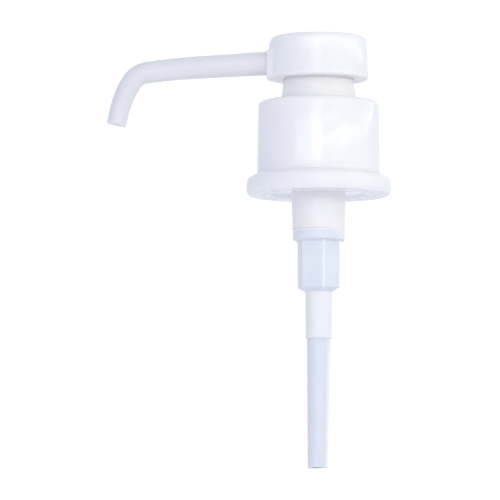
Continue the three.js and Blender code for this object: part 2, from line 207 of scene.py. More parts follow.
def maths(tree, operation, first, second):
    """A maths node over two values, either of which may be a number."""
    made = node(tree, "ShaderNodeMath", operation=operation)
    feed(tree, first, made.inputs[0])
    feed(tree, second, made.inputs[1])
    return made.outputs[0]


def product(tree, value, *others):
    for other in others:
        value = maths(tree, "MULTIPLY", value, other)
    return value


def remap(tree, value, low, high, to_low, to_high, kind="LINEAR"):
    """Carries the range from low to high over to another range, and stays inside it."""
    made = node(tree, "ShaderNodeMapRange", interpolation_type=kind)
    limits = {"From Min": low, "From Max": high, "To Min": to_low, "To Max": to_high}
    for key, number in limits.items():
        made.inputs[key].default_value = number
    tree.links.new(value, made.inputs["Value"])
    return made.outputs["Result"]


def window(tree, value, low, high, soft):
    """1 between two limits and 0 outside them. Each edge is soft over twice that width."""
    rise = remap(tree, value, low - soft, low + soft, 0, 1, "SMOOTHSTEP")
    fall = remap(tree, value, high + soft, high - soft, 0, 1, "SMOOTHSTEP")
    return product(tree, rise, fall)


def axes(tree, vector):
    split = node(tree, "ShaderNodeSeparateXYZ")
    tree.links.new(vector, split.inputs["Vector"])
    return split.outputs["X"], split.outputs["Y"], split.outputs["Z"]


def mixed(tree, share, first, second):
    """A colour that goes from the first to the second as the share goes from 0 to 1."""
    made = node(tree, "ShaderNodeMix", data_type="RGBA")
    feed(tree, first, made.inputs["A"])
    feed(tree, second, made.inputs["B"])
    tree.links.new(share, made.inputs["Factor"])
    return made.outputs["Result"]


def marked(tree, name):
    """The share that a mesh stores on its vertices under this name."""
    return node(tree, "ShaderNodeAttribute", attribute_name=name).outputs["Fac"]


def noise(tree, coords, scale, detail=2.0, stretch=(1, 1, 1), distortion=0.0):
    mapping = node(tree, "ShaderNodeMapping")
    mapping.inputs["Scale"].default_value = stretch
    tree.links.new(coords, mapping.inputs["Vector"])
    texture = node(tree, "ShaderNodeTexNoise")
    texture.inputs["Scale"].default_value = scale
    texture.inputs["Detail"].default_value = detail
    texture.inputs["Distortion"].default_value = distortion
    tree.links.new(mapping.outputs["Vector"], texture.inputs["Vector"])
    return texture.outputs["Fac"]


def bump(tree, height, distance, below=None):
    """A bump over the one below it, if any. Its height times the distance is in metres."""
    made = node(tree, "ShaderNodeBump")
    made.inputs["Distance"].default_value = distance
    made.inputs["Strength"].default_value = 1.0
    tree.links.new(height, made.inputs["Height"])
    if below is not None:
        tree.links.new(below, made.inputs["Normal"])
    return made.outputs["Normal"]


# ------------------------------------------------------------------ materials
# How fine each pattern of the plastic is, per metre.
CLOUDS, WAVES, MOTTLING, RUBBING, GRAIN = 55.0, 62.0, 240.0, 900.0, 2600.0
RUBBING_HEIGHT = 1.2e-6
WAVE_ONSET = 0.006
PALE_BLUR = 3e-4
PALE_SHARE = 0.85
# Tint of the painted glow, an emission that stands in for light passing thin walls.
PAINTED_GLOW_TINT = (0.82, 0.86, 1, 1)
SCATTER_WEIGHT = 0.35
WHITE = (1, 1, 1, 1)


def new_material(name):
    material = bpy.data.materials.new(name)
    material.use_nodes = True
    tree = material.node_tree
    return material, tree, tree.nodes["Principled BSDF"]


def barrel_height(tree, level, middle, radius):
    """Height of a wall that bulges slightly about a level, or draws in if radius is negative."""
    offset = maths(tree, "SUBTRACT", level, middle)
    return product(tree, maths(tree, "POWER", offset, 2.0), -0.5 / radius)


def plastic(
    name,
    light,
    dark,
    rough,
    wave=0.0,
    wave_from=None,
    grain=1e-6,
    barrel=None,
    pale=None,
    highlight_tint=None,
    glow=False,
    scatter=None,
):
    """Moulded plastic: slow sink waves, fine grain and faint rubbing in its bump, with slow
    changes of tint between light and dark, and of roughness over the range in rough.

    wave, grain: heights of the waves and of the grain
    wave_from: the level where the waves set in
    barrel: middle level and radius of a slightly bulging wall
    pale: a level, and the paler tint of the thin wall below it
    edges: tint of a painted highlight, on the places that the mesh marks in its attribute "edge"
    glow: adds a painted glow, an emission that stands in for light passing thin walls, as strong as
    the mesh gives it in its attribute "through"
    scatter: how deep light scatters under the surface
    """
    material, tree, shader = new_material(name)
    coords = node(tree, "ShaderNodeTexCoord").outputs["Object"]
    level = axes(tree, coords)[2]

    clouds = noise(tree, coords, CLOUDS, 3.0, distortion=0.6)
    color = mixed(tree, remap(tree, clouds, 0.35, 0.65, 0, 1), (*dark, 1), (*light, 1))
    if pale:
        limit, tint = pale
        below = remap(tree, level, limit + PALE_BLUR, limit - PALE_BLUR, 0, PALE_SHARE)
        color = mixed(tree, below, color, (*tint, 1))
    # Painted highlight: a paler tint where the mesh's attribute "edge" marks it.
    if highlight_tint:
        color = mixed(tree, marked(tree, "edge"), color, (*highlight_tint, 1))
    tree.links.new(color, shader.inputs["Base Color"])
    # Painted glow: an emission, as strong as the mesh's attribute "through", stands in for light
    # passing thin walls.
    if glow:
        tree.links.new(marked(tree, "painted_glow_share"), shader.inputs["Emission Strength"])
        shader.inputs["Emission Color"].default_value = PAINTED_GLOW_TINT
    mottling = noise(tree, coords, MOTTLING, 4.0)
    tree.links.new(remap(tree, mottling, 0.3, 0.7, *rough), shader.inputs["Roughness"])

    normal = None
    if barrel:
        normal = bump(tree, barrel_height(tree, level, *barrel), 1.0)
    if wave:
        waves = noise(tree, coords, WAVES, 1.5, (1, 1, 0.8), 0.9)
        if wave_from is not None:
            share = remap(tree, level, wave_from, wave_from + WAVE_ONSET, 0, 1)
            waves = product(tree, remap(tree, waves, 0, 1, -0.5, 0.5), share)
        normal = bump(tree, waves, wave, normal)
    rubbing = noise(tree, coords, RUBBING, 2.0, (1, 1, 0.06))
    normal = bump(tree, remap(tree, rubbing, 0.62, 0.75, 0, 1), RUBBING_HEIGHT, normal)
    normal = bump(tree, noise(tree, coords, GRAIN), grain, normal)
    tree.links.new(normal, shader.inputs["Normal"])

    if scatter:
        shader.inputs["Subsurface Weight"].default_value = SCATTER_WEIGHT
        shader.inputs["Subsurface Radius"].default_value = (1, 1, 1)
        shader.inputs["Subsurface Scale"].default_value = scatter
    return material


def drawn_steel(name):
    """Bright drawn steel: fine lines round the wire and slight changes of gloss."""
    material, tree, shader = new_material(name)
    shader.inputs["Metallic"].default_value = 1.0
    coords = node(tree, "ShaderNodeTexCoord").outputs["Object"]
    clouds = noise(tree, coords, 300.0, 3.0)
    color = mixed(tree, clouds, (0.56, 0.57, 0.59, 1), (0.72, 0.73, 0.75, 1))
    tree.links.new(color, shader.inputs["Base Color"])
    lines = noise(tree, coords, 1500.0, 3.0, (1, 1, 6))
    tree.links.new(remap(tree, lines, 0.3, 0.7, 0.14, 0.32), shader.inputs["Roughness"])
    tree.links.new(bump(tree, lines, 2e-6), shader.inputs["Normal"])
    return material


# Ranges of roughness, and tints that more than one plastic has.
GLOSSY = (0.05, 0.09)
SATIN = (0.2, 0.26)
MATT = (0.3, 0.38)
WAXY = (0.285, 0.36)
WHITE_TINTS = ((0.925, 0.927, 0.95), (0.9, 0.904, 0.932))
# Painted highlight: the paler tint where the valve's rim and corners and the dip tube's streak
# catch the light.
PAINTED_HIGHLIGHT_TINT = (0.97, 0.975, 0.985)

white_gloss = plastic(
    "white_gloss",
    *WHITE_TINTS,
    rough=GLOSSY,
    wave=8e-5,
    barrel=(0.0556, -0.2),
    scatter=0.0015,
)
white_collar = plastic(
    "white_collar",
    *WHITE_TINTS,
    rough=GLOSSY,
    wave=3.3e-4,
    wave_from=0.0095,
    barrel=(0.023, 0.28),
    scatter=0.0015,
)
# Painted shade: the spout is the same white plastic, tinted darker and greyer because it sits in
# the shade on the left. Near its tip it also has a painted glow.
white_spout_painted_shade = plastic(
    "white_spout_painted_shade",
    (0.81, 0.815, 0.85),
    (0.79, 0.795, 0.83),
    rough=MATT,
    wave=2e-5,
    glow=True,
    scatter=0.0015,
)
# Painted glow: the insert's plastic has an emission that brightens the shaded hollow of the
# closure.
white_thread = plastic(
    "white_thread",
    (0.92, 0.925, 0.95),
    (0.89, 0.895, 0.93),
    rough=MATT,
    glow=True,
    scatter=0.0015,
)
# Painted light: a lighter copy of the satin plastic, brightened against the shade that the head
# casts on the skirt. Its glossier roughness is the skirt's own finish.
white_skirt_painted_light = plastic(
    "white_skirt_painted_light",
    (0.935, 0.927, 0.93),
    (0.92, 0.912, 0.916),
    rough=(0.11, 0.16),
    wave=6e-5,
    scatter=0.0015,
)
white_satin = plastic(
    "white_satin",
    (0.918, 0.909, 0.914),
    (0.903, 0.894, 0.9),
    rough=SATIN,
    wave=1e-5,
    scatter=0.0015,
)
natural_pp = plastic(
    "natural_pp",
    (0.81, 0.845, 0.91),
    (0.77, 0.81, 0.89),
    rough=WAXY,
    wave=1e-5,
    pale=(-0.0391, (0.93, 0.945, 0.975)),
    highlight_tint=PAINTED_HIGHLIGHT_TINT,
    scatter=0.0012,
)
natural_pe = plastic(
    "natural_pe",
    (0.775, 0.815, 0.89),
    (0.755, 0.8, 0.878),
    rough=WAXY,
    wave=1e-5,
    highlight_tint=PAINTED_HIGHLIGHT_TINT,
    scatter=0.001,
)
foam = plastic("foam", (0.86, 0.86, 0.84), (0.76, 0.76, 0.74), rough=(0.75, 0.9), grain=6e-5)
rubber = plastic("rubber", (0.72, 0.73, 0.75), (0.66, 0.67, 0.69), rough=(0.45, 0.6), grain=6e-6)
steel = drawn_steel("steel")


# ------------------------------------------------------------------ spout's centreline
# The spout leaves the pump's axis at AXIS_Z, drooping slightly, and runs straight to
# BEND_START. Three bends follow, as radius and turn: a slight bow, the tight bend, its slow end.
AXIS_Z = 54.42
DROOP = math.radians(3.4)
BEND_START = 47.6
BENDS = ((265.0, math.radians(4.6)), (9.0, math.radians(50.8)), (40.8, math.radians(20.0)))
TIP_Z = 28.2
SPOUT_BORE = 2.6
RING_POINTS = 48


def spout_centre(s):
    """Point and direction on the spout's centreline, s from the pump's axis."""
    direction = Vector((-math.cos(DROOP), -math.sin(DROOP)))
    point = Vector((0, AXIS_Z)) + direction * min(s, BEND_START)
    left = max(0.0, s - BEND_START)
    for radius, turn in BENDS:
        a = min(left / radius, turn)
        inward = Vector((-direction.y, direction.x))
        point += direction * radius * math.sin(a) + inward * radius * (1 - math.cos(a))
        direction = direction * math.cos(a) + inward * math.sin(a)
        left -= a * radius
    return point + direction * left, direction


TIGHT_START = BEND_START + BENDS[0][0] * BENDS[0][1]
BEND_END = BEND_START + sum(radius * turn for radius, turn in BENDS)
end_point, end_direction = spout_centre(BEND_END)
SPOUT_LENGTH = BEND_END + (end_point.y - TIP_Z) / -end_direction.y


def spout_ring(s, r):
    """A ring of points square to the centreline."""
    point, d = spout_centre(s)
    ring = []
    for j in range(RING_POINTS):
        up = r * math.cos(TAU * j / RING_POINTS)
        side = r * math.sin(TAU * j / RING_POINTS)
        ring.append((point.x - d.y * up, side, point.y + d.x * up))
    return ring


def spout_rod(name, r, from_s, to_s):
    """A round rod on the spout's straight axis."""
    return swept(name, [spout_ring(from_s, r), spout_ring(to_s, r)], closed=False)


# ------------------------------------------------------------------ head
SPOUT_ANGLE = 270
DRUM_R, DRUM_BOTTOM = 19.98, 46.5
WALL_BOTTOM, WALL_HEIGHT, WALL_DRAFT, WALL_ROWS = 48.2, 13.0, 0.47, 36
BOSS_FACE, BOSS_FOOT, BOSS_FOOT_R = 21.08, 48.8, 2.3
BOSS_HALF_FLAT, BOSS_HALF_WIDTH = 12.5, 25

wall_steps = [k / WALL_ROWS for k in range(WALL_ROWS + 1)]
drum_outside = fillet(
    [
        (17.6, DRUM_BOTTOM, 0.05),
        (DRUM_R, DRUM_BOTTOM, 1.25),
        *((DRUM_R - WALL_DRAFT * t, WALL_BOTTOM + WALL_HEIGHT * t) for t in wall_steps),
        (19.5, 63.8, 2.4),
        (6.0, 63.88),
        (0, 63.9),
    ],
    closed=False,
)
drum_inside = fillet([(0, 62.0), (17.6, 62.0, 0.8), (17.6, 46.8)], closed=False)


def drum_profile(degrees):
    """The drum's wall, swelling into a flat-faced boss round the spout's root. The boss has a
    round foot, and its upper end falls away quickly, then slowly into the drum's top edge."""
    off = off_angle(degrees, SPOUT_ANGLE)
    face = BOSS_FACE / math.cos(math.radians(min(off, 30)))
    side = 1 - smooth(off, BOSS_HALF_FLAT, BOSS_HALF_WIDTH)
    outside = []
    for r, z in drum_outside:
        below = math.sqrt(1 - min(1.0, max(0.0, (BOSS_FOOT - z) / BOSS_FOOT_R)) ** 2)
        above = 0.82 * (1 - smooth(z, 57.4, 59.4)) + 0.18 * (1 - smooth(z, 60.5, 63.0))
        outside.append((r + max(0.0, face - r) * side * below * above, z))
    return outside + drum_inside


head = turned("head_shell_visual", drum_profile, 288)
boolean(head, spout_rod("boss_hole", 4.8, 16.9, 26.0), "DIFFERENCE")
gate = lathe("gate", [(0, 64.3), (1.5, 64.3), (1.3, 63.72, 0.1), (0, 63.72)], 48, closed=False)
boolean(head, gate, "DIFFERENCE")
finish_piece(head, "head", white_gloss, ["head_shell"])

# One moulding: a plate under the drum's top, the skirt with a shoulder that closes the drum's
# lower end, and the hub on the stem. An arm then joins the hub to the spout.
core = lathe(
    "actuator_core_visual",
    [
        (0, 61.7),
        (17.1, 61.7, 0.5),
        (17.1, 59.4, 0.3),
        (14.0, 59.4, 0.6),
        (14.0, 47.9, 0.3),
        (17.6, 47.9, 0.2),
        (17.6, 46.52),
        (14.5, 46.52, 0.1),
        (14.45, 46.75),
        (14.03, 46.75),
        (15.1, 38.3, 2.0),
        (15.1, 33.0, 0.5),
        (13.0, 33.0, 0.2),
        (12.6, 59.4, 0.4),
        (6.2, 59.4, 0.4),
        (6.2, 42.0, 0.3),
        (3.8, 42.0, 0.3),
        (3.8, 42.8),
        (4.5, 42.9),
        (4.5, 44.5),
        (3.8, 44.7),
        (3.8, 45.1),
        (5.1, 45.1),
        (5.1, 46.7),
        (3.8, 46.7),
        (3.8, 47.3),
        (3.4, 47.3),
        (3.4, 57.2, 0.4),
        (0.8, 57.2),
        (0.8, 54.4, 0.3),
        (0, 54.4),
    ],
    112,
    closed=False,
)
boolean(core, spout_rod("arm", 5.2, 4.2, 16.4), "UNION")
for name, r, from_s, to_s in (
    ("socket", 3.75, 10.0, 18.0),
    ("mouth", 4.6, 14.9, 18.0),
    ("passage", SPOUT_BORE, 1.6, 10.6),
):
    boolean(core, spout_rod(name, r, from_s, to_s), "DIFFERENCE")
finish_piece(core, "head", white_skirt_painted_light, ["actuator_core"])

# ------------------------------------------------------------------ spout
# A plain spigot sits in the arm. Outside it the spout tapers in two stages to a round lip.
SPIGOT_START, SPIGOT_R = 10.3, 3.4
SHOULDER, SHOULDER_EASE = 16.85, 0.35
SHOULDER_R, BEND_R, TIP_R = 4.75, 4.32, 3.88
LIP_R = 0.5
LIP_START = SPOUT_LENGTH - LIP_R
MOULD_LINE_SWELL = 1.008


def spout_radius(s):
    if s < TIGHT_START:
        return SHOULDER_R + (BEND_R - SHOULDER_R) * (s - SHOULDER) / (TIGHT_START - SHOULDER)
    return BEND_R + (TIP_R - BEND_R) * (s - TIGHT_START) / (SPOUT_LENGTH - TIGHT_START)


stations = [SHOULDER + SHOULDER_EASE * k / 3 for k in range(4)]
stations += [19.0 + (TIGHT_START - 19.0) * k / 16 for k in range(16)]
stations += [TIGHT_START + (BEND_END - TIGHT_START) * k / 40 for k in range(41)]
stations += [BEND_END + (LIP_START - BEND_END) * k / 4 for k in range(1, 5)]
spout_rings = [
    spout_ring(SPIGOT_START, SPIGOT_R - 0.3),
    spout_ring(SPIGOT_START + 0.3, SPIGOT_R),
    spout_ring(SHOULDER, SPIGOT_R),
]
for s in stations:
    ease = 0.3 * max(0.0, 1 - (s - SHOULDER) / SHOULDER_EASE) ** 2
    ring = spout_ring(s, spout_radius(s) - ease)
    # The mould line is a faint ridge along the spout's two sides.
    for j in (RING_POINTS // 4, RING_POINTS * 3 // 4):
        ring[j] = (ring[j][0], ring[j][1] * MOULD_LINE_SWELL, ring[j][2])
    spout_rings.append(ring)
for k in range(1, 7):
    a = math.radians(15 * k)
    lip_ring = spout_ring(LIP_START + LIP_R * math.sin(a), TIP_R - LIP_R + LIP_R * math.cos(a))
    spout_rings.append(lip_ring)
spout_rings.append(spout_ring(SPOUT_LENGTH, SPOUT_BORE + 0.15))
spout_rings.append(spout_ring(SPOUT_LENGTH - 0.15, SPOUT_BORE))
bore_stations = [BEND_END + (TIGHT_START - BEND_END) * k / 30 for k in range(31)]
for s in (SPOUT_LENGTH - 2.0, *bore_stations, 45.0, SPIGOT_START):
    spout_rings.append(spout_ring(s, SPOUT_BORE))
spout = swept("spout_tube_visual", spout_rings)


def painted_spout_glow(x, y, z):
    """Painted glow: an emission in the bore near the tip stands in for light that passes the wall.
    """
    from_end = Vector((x - end_point.x, z - end_point.y))
    along = from_end.dot(end_direction)
    off = math.hypot((from_end - end_direction * along).length, y)
    return 0.2 * smooth(along, -6, 6) if off < SPOUT_BORE + 0.2 else 0.0


mark(spout, "painted_glow_share", painted_spout_glow)
finish_piece(spout, "head", white_spout_painted_shade, ["spout_tube"])


# ------------------------------------------------------------------ seals
def seal_ring(node_name, name, r_in, r_out, bottom, top, body, on_spout=False):
    """A round seal ring, about the pump's axis or about the spout's."""
    r = (r_in + r_out) / 2
    z = (bottom + top) / 2
    section = []
    for k in range(16):
        a = TAU * k / 16
        section.append((r + (r_out - r) * math.cos(a), z + (top - z) * math.sin(a)))
    if on_spout:
        ring = swept(name, [spout_ring(s, radius) for radius, s in section])
    else:
        ring = turned(name, lambda degrees: section, 72)
    finish_piece(ring, body, rubber, [node_name])


seal_ring("spout_o_ring", "spout_seal_visual", 3.5, 4.4, 15.2, 16.2, "head", on_spout=True)
seal_ring("swivel_o_ring", "swivel_seal_visual", 3.75, 4.9, 45.35, 46.45, "head")
seal_ring("cylinder_o_ring", "cylinder_seal_visual", 7.35, 8.45, -12.3, -11.3, "housing")

# ------------------------------------------------------------------ closure
shell = lathe(
    "closure_shell_visual",
    [
        (22.3, 0, 0.15),
        (28.3, 0, 0.9),
        (28.95, 1.6, 2.0),
        (29.0, 3.6, 3.0),
        (28.55, 6.6, 2.2),
        (26.3, 7.9, 2.2),
        (24.85, 8.35, 0.9),
        (24.63, 10.0, 2.0),
        (24.15, 37.7, 1.9),
        (15.5, 37.7, 0.35),
        (15.5, 35.9, 0.2),
        (22.0, 35.9, 1.0),
        (22.0, 16.2, 0.2),
        (22.3, 16.2, 0.1),
    ],
    160,
)
finish_piece(shell, "closure", white_collar, ["closure_shell"])

insert = lathe(
    "threaded_insert_visual",
    [
        (19.5, 0.05, 0.2),
        (22.27, 0.05, 0.1),
        (22.27, 15.6, 0.4),
        (12.2, 15.6, 0.2),
        (12.2, 13.4, 0.2),
        (19.1, 13.4, 0.5),
        (19.1, 0.5, 0.2),
    ],
    120,
)
# The neck thread is a rounded ridge that fades into the wall at both ends.
THREAD_TURNS, THREAD_PITCH, THREAD_START, THREAD_STEPS = 1.25, 4.23, 2.4, 120
THREAD_ROOT, THREAD_CREST, THREAD_FOOT = 19.2, 17.9, 20.0
thread_rings = []
for k in range(THREAD_STEPS + 1):
    t = k / THREAD_STEPS
    a = -t * THREAD_TURNS * TAU
    z = THREAD_START + t * THREAD_TURNS * THREAD_PITCH
    fade = min(1.0, 8 * t + 0.05, 8 * (1 - t) + 0.05)
    crest = THREAD_ROOT + (THREAD_CREST - THREAD_ROOT) * fade
    flank = (crest + 19.6) / 2
    section = [(THREAD_FOOT, z - 1.3), (THREAD_FOOT, z + 1.3)]
    section += [(flank, z + 0.85), (crest + 0.15, z + 0.48), (crest, z + 0.3)]
    section += [(crest, z - 0.3), (crest + 0.15, z - 0.48), (flank, z - 0.85)]
    thread_rings.append([(r * math.cos(a), -r * math.sin(a), h) for r, h in section])
boolean(insert, swept("thread", thread_rings, closed=False), "UNION")


def painted_insert_glow(x, y, z):
    """Painted glow: an emission stands in for light that passes the closure's walls, more of it
    above the lower edge.
    """
    return 0.04 + 0.17 * smooth(z, 0.2, 1.8)


mark(insert, "painted_glow_share", painted_insert_glow)
finish_piece(insert, "closure", white_thread, ["threaded_insert"])

# ------------------------------------------------------------------ cylinder and valve body
# The hexagon's first corner. The cylinder's and the valve body's meshes start there too.
FIRST_CORNER = 13.0
SHANK_EDGE = -14.0
KEY_ANGLE, KEY_HALF_TIP, KEY_SLOPE, KEY_DROP = 100, 27, 51, 3.4


def key_drop(degrees):
    """How much lower the shank's edge is at an angle than it is away from its key tongue."""
    share = min(1.0, max(0.0, 1 - (off_angle(degrees, KEY_ANGLE) - KEY_HALF_TIP) / KEY_SLOPE))
    return KEY_DROP * (0.35 * smooth(share, 0, 1) + 0.65 * share)


def cylinder_profile(degrees):
    """The pump cylinder's wall, flange and neck. The shank below them is slightly drafted."""
    edge = SHANK_EDGE - key_drop(degrees)
    edge_r = 10.85 + 0.0257 * edge
    return fillet(
        [
            (8.6, edge, 0.15),
            (edge_r, edge, 0.1),
            (10.85, 0),
            (10.85, 11.2, 0.2),
            (17.6, 11.2, 0.3),
            (17.6, 13.0, 0.3),
            (11.0, 13.0, 0.2),
            (11.0, 15.9),
            (12.5, 16.1, 0.2),
            (12.5, 16.9, 0.2),
            (11.0, 18.0),
            (11.0, 30.0, 0.2),
            (8.6, 30.0, 0.2),
        ],
        steps=4,
    )


cylinder = turned("pump_cylinder_visual", cylinder_profile, 120, start=FIRST_CORNER)
finish_piece(cylinder, "housing", white_satin, ["pump_cylinder"])

# The barrel is a hexagon with round corners, FLAT_R from its axis to each flat.
FLAT_R, CORNER_R = 7.7, 1.1
BARREL_BOTTOM, BARREL_TOP = -37.3, -18.8
COLLAR_R = 10.35
RIM_GAP = 0.02


def hex_radius(degrees):
    """How far the barrel's wall is from its axis."""
    from_flat = math.radians((degrees - FIRST_CORNER) % 60 - 30)
    from_corner = math.pi / 6 - abs(from_flat)
    reach = (FLAT_R - CORNER_R) / math.cos(math.pi / 6)
    if from_corner > math.atan2(CORNER_R / 2, reach + CORNER_R * math.cos(math.pi / 6)):
        return FLAT_R / math.cos(from_flat)
    across = reach * math.sin(from_corner)
    return reach * math.cos(from_corner) + math.sqrt(CORNER_R**2 - across**2)


def valve_profile(degrees):
    """The valve body: tube socket, hexagonal barrel, and a collar whose rim meets the shank."""
    rim = SHANK_EDGE - RIM_GAP - key_drop(degrees)
    barrel = hex_radius(degrees)
    return fillet(
        [
            (4.6, -57.6, 0.1),
            (5.2, -57.6, 0.2),
            (5.3, -38.9, 0.3),
            (5.55, -38.7, 0.1),
            (barrel, BARREL_BOTTOM, 0.35),
            (barrel, BARREL_TOP, 0.25),
            (10.15, -18.1, 0.1),
            (COLLAR_R, -17.95),
            (COLLAR_R, rim - 0.75),
            (COLLAR_R + 0.03, rim - 0.6),
            (COLLAR_R + 0.09, rim, 0.05),
            (8.3, rim),
            (8.3, -12.4),
            (7.2, -12.4),
            (7.2, -11.2),
            (8.3, -11.2),
            (8.3, -9.3, 0.4),
            (5.9, -9.3, 0.2),
            (5.9, -31.0, 0.5),
            (2.75, -34.5, 0.5),
            (2.75, -39.5),
            (4.6, -40.0),
        ],
        steps=4,
    )


valve = turned("valve_body_visual", valve_profile, 216, start=FIRST_CORNER)


def painted_corner_highlights(x, y, z):
    """Painted highlights: the rim round the shank, and the barrel's six corners, are tinted paler
    where they catch the light.
    """
    r = math.hypot(x, y)
    if r > COLLAR_R + 0.01:
        return 1.0
    degrees = math.degrees(math.atan2(x, -y))
    from_corner = abs((degrees - FIRST_CORNER + 30) % 60 - 30)
    on_barrel = r > FLAT_R + 0.3 and BARREL_BOTTOM - 0.2 < z < BARREL_TOP + 0.2
    return 0.55 if on_barrel and from_corner < 2.6 else 0.0


mark(valve, "edge", painted_corner_highlights)
finish_piece(valve, "housing", natural_pp, ["valve_body"])

# ------------------------------------------------------------------ dip tube
TUBE_TOP, TUBE_END, SOCKET_END = -40.5, -109.25, -57.9
TUBE_R, TUBE_END_R, TUBE_BORE = 4.6, 4.05, 2.8
TUBE_LEAN = math.radians(0.35)
NICK_ANGLE, NICK_HALF_WIDTH, NICK_DEPTH = 328, 18, 0.5
HIGHLIGHT_STREAK_ANGLE = 68


def tube_profile(degrees):
    """The tube's wall. Its cut end is ragged, with one small nick."""
    nick = NICK_DEPTH * max(0.0, 1 - off_angle(degrees, NICK_ANGLE) / NICK_HALF_WIDTH)
    a = math.radians(degrees)
    ragged = 0.16 * math.sin(a) + 0.07 * math.sin(5 * a + 1) + 0.04 * math.sin(11 * a)
    end = TUBE_END + nick + ragged
    wall = [(TUBE_BORE, end), (TUBE_END_R - 0.1, end), (TUBE_END_R, end + 0.12)]
    for k in range(1, 16):
        t = k / 16
        wall.append((TUBE_END_R + (TUBE_R - TUBE_END_R) * t, end + (SOCKET_END - end) * t))
    wall += [(TUBE_R, SOCKET_END), (4.57, -57.0), (4.3, -56.8), (4.3, -40.8), (4.0, TUBE_TOP)]
    return wall + [(2.9, TUBE_TOP), (TUBE_BORE, -40.7), (TUBE_BORE, -75.0)]


tube = turned("dip_tube_visual", tube_profile, 96)
lean = Matrix.Translation((0, 0, TUBE_TOP * MM)) @ Matrix.Rotation(TUBE_LEAN, 4, "Y")
tube.data.transform(lean @ Matrix.Translation((0, 0, -TUBE_TOP * MM)))


def painted_streak_highlight(x, y, z):
    """Painted highlight: a paler stretch of the wall, stronger toward the tube's end."""
    off = off_angle(math.degrees(math.atan2(x, -y)), HIGHLIGHT_STREAK_ANGLE)
    return (1 - smooth(off, 12, 30)) * smooth(-z, 20, 105)


mark(tube, "edge", painted_streak_highlight)
finish_piece(tube, "housing", natural_pe, ["dip_tube"])


# ------------------------------------------------------------------ inner pieces
def cage_profile(degrees):
    """A flat ring with three broad fingers inward, which keep the ball in."""
    share = 1 / (1 + math.exp(-14 * (math.cos(math.radians(3 * degrees)) - 0.3)))
    r_in = 3.0 + 1.8 * share
    return fillet([(r_in, -25.3, 0.2), (5.65, -25.3, 0.2), (5.65, -23.0, 0.2), (r_in, -23.0, 0.2)])


cage = turned("inlet_ball_cage_visual", cage_profile, 144)
finish_piece(cage, "housing", natural_pp, ["inlet_ball_cage"])


def simple(name, profile, body, material, segments=72, closed=True):
    """A turned inner piece that stands for the CAD node of the same name."""
    piece = lathe(f"{name}_visual", profile, segments, closed)
    finish_piece(piece, body, material, [name])


def ball(name, r, z, body):
    """A steel check ball, centred on the pump's axis."""
    half = [(r * math.sin(math.pi * k / 32), z - r * math.cos(math.pi * k / 32)) for k in range(33)]
    simple(name, half, body, steel, 64, closed=False)


ball("inlet_ball", 3.6, -31.73, "inlet_ball")
ball("outlet_ball", 2.8, 49.28, "outlet_ball")

simple(
    "container_gasket",
    [(11.3, 9.4, 0.2), (17.4, 9.4, 0.2), (17.4, 10.9, 0.2), (11.3, 10.9, 0.2)],
    "housing",
    foam,
    96,
)
simple(
    "guide_bushing",
    [
        (11.35, 27.0, 0.15),
        (12.5, 27.0, 0.3),
        (12.5, 32.8, 0.4),
        (6.3, 32.8, 0.15),
        (6.3, 31.0),
        (3.85, 31.0),
        (3.85, 30.3, 0.15),
        (11.35, 30.3, 0.3),
    ],
    "housing",
    natural_pp,
    96,
)
simple(
    "stem_wiper",
    [(3.8, 31.3, 0.1), (6.0, 31.3, 0.2), (6.0, 32.2, 0.2), (3.8, 32.5, 0.1)],
    "housing",
    rubber,
)
simple(
    "stem",
    [
        (2.0, 4.6, 0.15),
        (3.6, 4.6, 0.3),
        (3.6, 11.3),
        (4.6, 11.3, 0.2),
        (4.6, 12.6, 0.2),
        (3.6, 13.0),
        (3.6, 28.4),
        (5.0, 28.7, 0.2),
        (5.0, 29.9, 0.2),
        (3.6, 29.9, 0.2),
        (3.6, 43.0),
        (4.1, 43.3, 0.2),
        (4.1, 43.9, 0.2),
        (3.6, 44.3),
        (3.6, 47.0, 0.3),
        (2.0, 47.0, 0.15),
    ],
    "plunger",
    natural_pp,
)
simple(
    "piston_core",
    [
        (3.9, 6.3, 0.2),
        (7.8, 6.3, 0.5),
        (7.8, 7.6, 0.1),
        (6.6, 7.6, 0.1),
        (6.6, 9.7, 0.1),
        (7.8, 9.7, 0.1),
        (7.8, 11.0, 0.3),
        (3.9, 11.0, 0.2),
    ],
    "plunger",
    white_satin,
)
seal_ring("piston_seal", "piston_seal_visual", 6.8, 8.45, 7.8, 9.5, "plunger")
simple(
    "piston_retainer",
    [
        (2.0, 3.4, 0.1),
        (5.4, 3.4, 0.5),
        (5.4, 6.0, 0.2),
        (3.9, 6.0, 0.1),
        (3.9, 4.3, 0.1),
        (2.0, 4.3, 0.1),
    ],
    "plunger",
    white_satin,
)

# ------------------------------------------------------------------ return spring
# Closed ends, with open turns between them.
SPRING_BOTTOM, SPRING_LENGTH = -9.0, 15.0
WIRE_R, COIL_R = 0.5, 7.2
CLOSED_TURNS, OPEN_TURNS = 0.8, 3.2
CLOSED_PITCH = 2.15 * WIRE_R
SPRING_STEPS = 240
closed_rise = CLOSED_TURNS * CLOSED_PITCH
open_pitch = (SPRING_LENGTH - 2 * WIRE_R - 2 * closed_rise) / OPEN_TURNS
spring_turns = 2 * CLOSED_TURNS + OPEN_TURNS
spring_rings = []
for k in range(SPRING_STEPS + 1):
    turns = spring_turns * k / SPRING_STEPS
    low = min(turns, CLOSED_TURNS)
    middle = min(max(turns - CLOSED_TURNS, 0), OPEN_TURNS)
    high = max(0, turns - CLOSED_TURNS - OPEN_TURNS)
    z = SPRING_BOTTOM + WIRE_R + (low + high) / CLOSED_TURNS * closed_rise + middle * open_pitch
    a = turns * TAU
    ring = []
    for j in range(12):
        b = TAU * j / 12
        r = COIL_R + WIRE_R * math.cos(b)
        ring.append((r * math.cos(a), r * math.sin(a), z + WIRE_R * math.sin(b)))
    spring_rings.append(ring)
